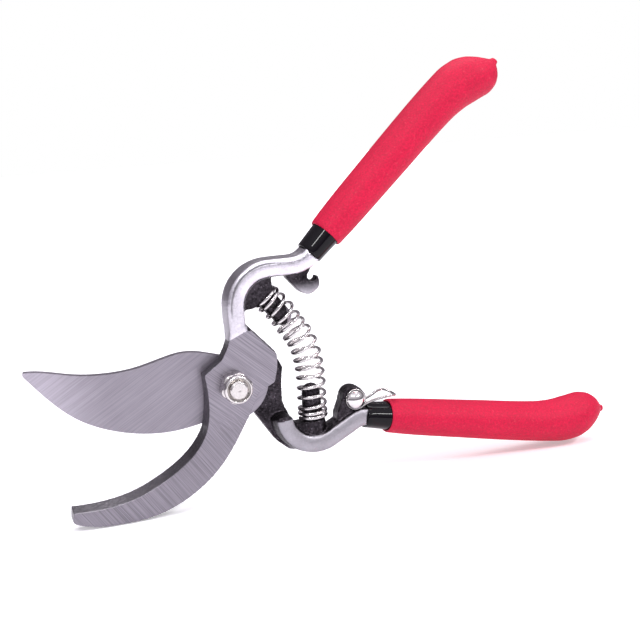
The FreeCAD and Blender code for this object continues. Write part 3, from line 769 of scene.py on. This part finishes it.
def make_nut():
    """A hexagon nut with a round collar, its edges worn round, turned as the CAD nut is."""
    cad = about_pivot(vertices(frame["nodes"]["pivot_nut"].data))
    corner = cad[np.hypot(cad[:, 0], cad[:, 2]).argmax()]
    flat = math.atan2(corner[2], corner[0]) + SIXTH / 2
    rings = []
    for y, apothem, limit in NUT + NUT[:1]:
        ring = []
        for k in range(NUT_SIDES):
            a = flat + math.tau * k / NUT_SIDES
            off_flat = (a - flat + SIXTH / 2) % SIXTH - SIXTH / 2
            r = min(limit, apothem / math.cos(off_flat)) if apothem else limit
            ring.append(at(r * math.cos(a), y, r * math.sin(a)))
        rings.append(ring)
    add_piece("pivot_nut_worn", rings_mesh("pivot_nut_worn", rings, close_ends=False),
              plated("nut_plating", 0.72, 0.11, WARM_TINT), "pivot_nut", "blade_side")


def make_hardware():
    """Bolt, insert and rivet, with their edges worn round."""
    for node, voxel, rounds, *look in WORN:
        mesh = remeshed(node, voxel)
        put_vertices(mesh, relax(mesh, vertices(mesh), rounds))
        add_piece(node + "_worn", mesh, plated(*look), node, "blade_side")


def dress_blade():
    """The blade and its dowel keep the CAD meshes."""
    for node, material in (("blade", blade_steel("ground_blade")),
                           ("blade_pin", plated("pin_steel", 0.4, 0.3))):
        mesh = frame["nodes"][node].data
        mesh.materials.clear()
        mesh.materials.append(material)


# ---------------------------------------------------------------- coil spring

HANDLE_MID = -1.0           # the spring, the latch and both grips are centred here across the shears
COIL_RADIUS = 4.51
COIL_WIRE = 0.58
COIL_SIDES = 12
STEPS_PER_TURN = 40
LAST_TURN = 0.62            # share of a turn past the last height
COIL_TAPER = 0.10           # how much tighter the last turn is
COIL_AXIS = [(26.85, -15.0), (26.9, -8.5), (27.05, -5.0), (27.0, -1.7), (26.9, 1.3), (26.6, 4.2),
             (25.9, 8.0), (24.3, 12.3), (22.7, 14.9), (20.7, 17.9), (19.0, 20.8), (16.7, 23.7), (13.6, 27.2)]
# heights at which the turns cross the left side, from the lower seat up
COIL_LEFT = [-15.0, -13.6, -11.9, -8.3, -5.0, -1.5, 1.5, 4.3, 7.2, 10.0, 12.2, 14.8, 17.5, 20.0, 22.5,
             24.5]


def make_spring():
    """A real coil along a bent axis."""
    axis = path_through(COIL_AXIS, 0.1)
    ahead = directions(axis)
    left = np.stack([-ahead[:, 1], ahead[:, 0]], 1)
    steps = np.arange(len(axis), dtype=float)
    heights = (axis + left * COIL_RADIUS)[:, 1]
    where = np.interp(COIL_LEFT, heights, steps)
    where = np.append(where, 2 * where[-1] - where[-2])
    turns = np.arange(0, len(COIL_LEFT) - 1 + LAST_TURN, 1 / STEPS_PER_TURN)
    place = np.interp(turns, np.arange(len(where)), where)
    centre = np.stack([np.interp(place, steps, axis[:, k]) for k in range(2)], 1)
    out = np.stack([np.interp(place, steps, left[:, k]) for k in range(2)], 1)
    angle = math.tau * turns
    radius = COIL_RADIUS * (1 - COIL_TAPER * ramp(turns, len(COIL_LEFT) - 1.2, len(COIL_LEFT) - 0.4))
    x = centre[:, 0] + out[:, 0] * np.cos(angle) * radius
    z = centre[:, 1] + out[:, 1] * np.cos(angle) * radius
    y = HANDLE_MID - np.sin(angle) * radius
    mesh = wire_mesh("coil", np.stack([x, y, z], 1), COIL_WIRE, COIL_SIDES)
    obj = add_piece("coil", mesh, plated("spring_plating", 0.72, 0.13, (1.0, 0.96, 0.96)),
                    "spring")
    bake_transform(obj)


# ---------------------------------------------------------------- latch wire

EYE_RADIUS = 3.2
EYE_CENTRE = (0.5, -0.1)
EYE_TURN = 335
EYE_STEPS = 24
EYE_CREEP = 0.45            # how far an eye's free end leans toward the middle
LEG_ASIDE = 3.75
LATCH_WIRE = 0.48
LATCH_SIDES = 14
# from the rivet: X, Z and how far the leg has turned in toward the cross end
NEAR_LEG = [(3.9, -1.9, 0), (6.6, -1.15, 0), (10.8, -0.6, 0), (12.4, -0.45, 0), (13.6, -0.42, 0.25),
            (14.6, -0.58, 0.95), (15.2, -0.85, 2.1)]
FAR_LEG = [(4.2, -2.6, 0), (6.9, -1.95, 0), (9.0, -1.0, 0), (10.7, -0.1, 0), (12.4, 0.25, 0),
           (14.4, -0.2, 0.85), (15.2, -0.85, 2.1)]


def latch_half(side, leaves, leg):
    """An eye round one end of the rivet, from its free end to the angle where the leg leaves it."""
    half = []
    for k in range(EYE_STEPS + 1):
        left_over = 1 - k / EYE_STEPS
        a = math.radians(leaves - EYE_TURN * left_over)
        half.append((EYE_CENTRE[0] + EYE_RADIUS * math.cos(a), side * (LEG_ASIDE - EYE_CREEP * left_over),
                     EYE_CENTRE[1] + EYE_RADIUS * math.sin(a)))
    return half + [(x, side * (LEG_ASIDE - tuck), z) for x, z, tuck in leg]


def make_latch():
    """A loop of wire: an eye round each end of the rivet, two legs and a cross end."""
    rivet = np.array((RIVET - PIVOT) / MM)
    rivet[1] = HANDLE_MID
    loop = latch_half(-1, -50, NEAR_LEG) + latch_half(1, -68, FAR_LEG)[::-1]
    path = path_through(loop, 0.2) + rivet
    add_piece("latch_loop", wire_mesh("latch_loop", path, LATCH_WIRE, LATCH_SIDES),
              plated("latch_plating", 0.5, 0.12, (1.0, 0.95, 0.95)), "latch_wire", "latch")


# ---------------------------------------------------------------- sleeves and grips

AXIS_OFFSET = 8.25          # from the line through the pivot out to a grip's axis
OVAL_SIDES = 64
# a share of the grip's length, shift of the middle line outwards, half height, half depth
GRIP = [(0.00, 0.00, 5.70, 6.9), (0.08, -0.02, 6.10, 7.3), (0.17, -0.05, 6.35, 7.5),
        (0.26, -0.10, 6.50, 7.7), (0.35, -0.15, 6.65, 7.8), (0.44, -0.20, 6.80, 7.9),
        (0.53, -0.25, 6.90, 8.0), (0.61, -0.35, 7.00, 8.1), (0.69, -0.60, 7.15, 8.3),
        (0.76, -1.20, 7.55, 8.5), (0.82, -2.20, 8.15, 8.6), (0.87, -3.50, 8.30, 8.5),
        (0.91, -4.60, 7.40, 7.7), (0.945, -5.60, 5.40, 5.8), (0.97, -6.20, 3.20, 3.5),
        (0.987, -6.45, 1.6, 1.7), (1.00, -6.60, 1.10, 1.2)]
# the grip's rolled mouth: distance from its start, half height, half depth
GRIP_MOUTH = [(0.9, 4.7, 6.4), (0.15, 4.95, 6.55), (0.0, 5.2, 6.7), (0.1, 5.45, 6.82), (0.4, 5.62, 6.9)]
# the nib where the dip ran off: distance before the end, share of the last size
GRIP_NIB = [(0.18, 0.85), (0.06, 0.6), (0.0, 0.25)]
# the sleeve's rounded mouth: distance from its start, how much smaller it is there
SLEEVE_MOUTH = [(0.9, 1.3), (0.25, 0.75), (0.02, 0.4), (0.12, 0.12), (0.45, 0.0)]
SLEEVE_SIZE = (4.3, 6.3)    # half height and half depth past its mouth
SLEEVE_FLARE = (1.0, 0.45)  # how much larger they are at its far end
SLEEVE_LENGTH = 16.8
SLEEVE_STEPS = 12
SIDES = {
    "upper": {"angle": 43.7, "sign": 1, "body": "hook_side", "sleeve": 48.7, "grip": (57.2, 140.3)},
    "lower": {"angle": -11.15, "sign": -1, "body": "blade_side", "sleeve": 46.9, "grip": (55.4, 140.5)},
}


def on_axis(side, along, aside, across):
    """A point given along a grip's axis, outwards from it and across it."""
    a = math.radians(side["angle"])
    off = side["sign"] * aside
    return at(along * math.cos(a) - off * math.sin(a), HANDLE_MID + across,
              along * math.sin(a) + off * math.cos(a))


def oval(side, along, half_height, half_depth, shift=0.0):
    return [on_axis(side, along, AXIS_OFFSET + shift + half_height * math.cos(t), half_depth * math.sin(t))
            for t in (math.tau * k / OVAL_SIDES for k in range(OVAL_SIDES))]


def make_grip(name, side, material):
    """A dipped grip: rolled mouth, slow swell, drooping end and a nib."""
    start, end = side["grip"]
    shares, shifts, heights, depths = zip(*GRIP)
    rings = [oval(side, start + along, high, deep) for along, high, deep in GRIP_MOUTH]
    # closer rings where the end turns in
    for share in np.concatenate([np.linspace(0.012, 0.9, 90), np.linspace(0.905, 0.999, 40)]):
        high, deep, shift = (cubic(shares, column, share) for column in (heights, depths, shifts))
        rings.append(oval(side, start + (end - start) * share, high, deep, shift))
    for back, size in GRIP_NIB:
        rings.append(oval(side, end - back, heights[-1] * size, depths[-1] * size, shifts[-1]))
    skin = name + "_grip_skin"
    add_piece(skin, rings_mesh(skin, rings), material, name + "_grip", side["body"])


def make_sleeve(name, side, material):
    """A collar that widens toward the grip, which covers its far end."""
    start = side["sleeve"]
    high, deep = SLEEVE_SIZE
    rings = [oval(side, start + along, high - less, deep - less) for along, less in SLEEVE_MOUTH]
    for k in range(1, SLEEVE_STEPS + 1):
        share = k / SLEEVE_STEPS
        rings.append(oval(side, start + SLEEVE_MOUTH[-1][0] + SLEEVE_LENGTH * share,
                          high + SLEEVE_FLARE[0] * share, deep + SLEEVE_FLARE[1] * share))
    skin = name + "_sleeve_skin"
    add_piece(skin, rings_mesh(skin, rings), material, name + "_sleeve", side["body"])


# ---------------------------------------------------------------- put together

add_camera()
add_world()
add_floor()
for light in LIGHTS:
    add_light(*light)

make_hook_handle()
make_blade_handle()
make_nut()
make_hardware()
dress_blade()
make_spring()
make_latch()
red = grip_rubber("red_grip")
black = sleeve_gloss("black_gloss")
for name, side in SIDES.items():
    make_grip(name, side, red)
    make_sleeve(name, side, black)

bpy.context.scene.view_settings.view_transform = "Standard"
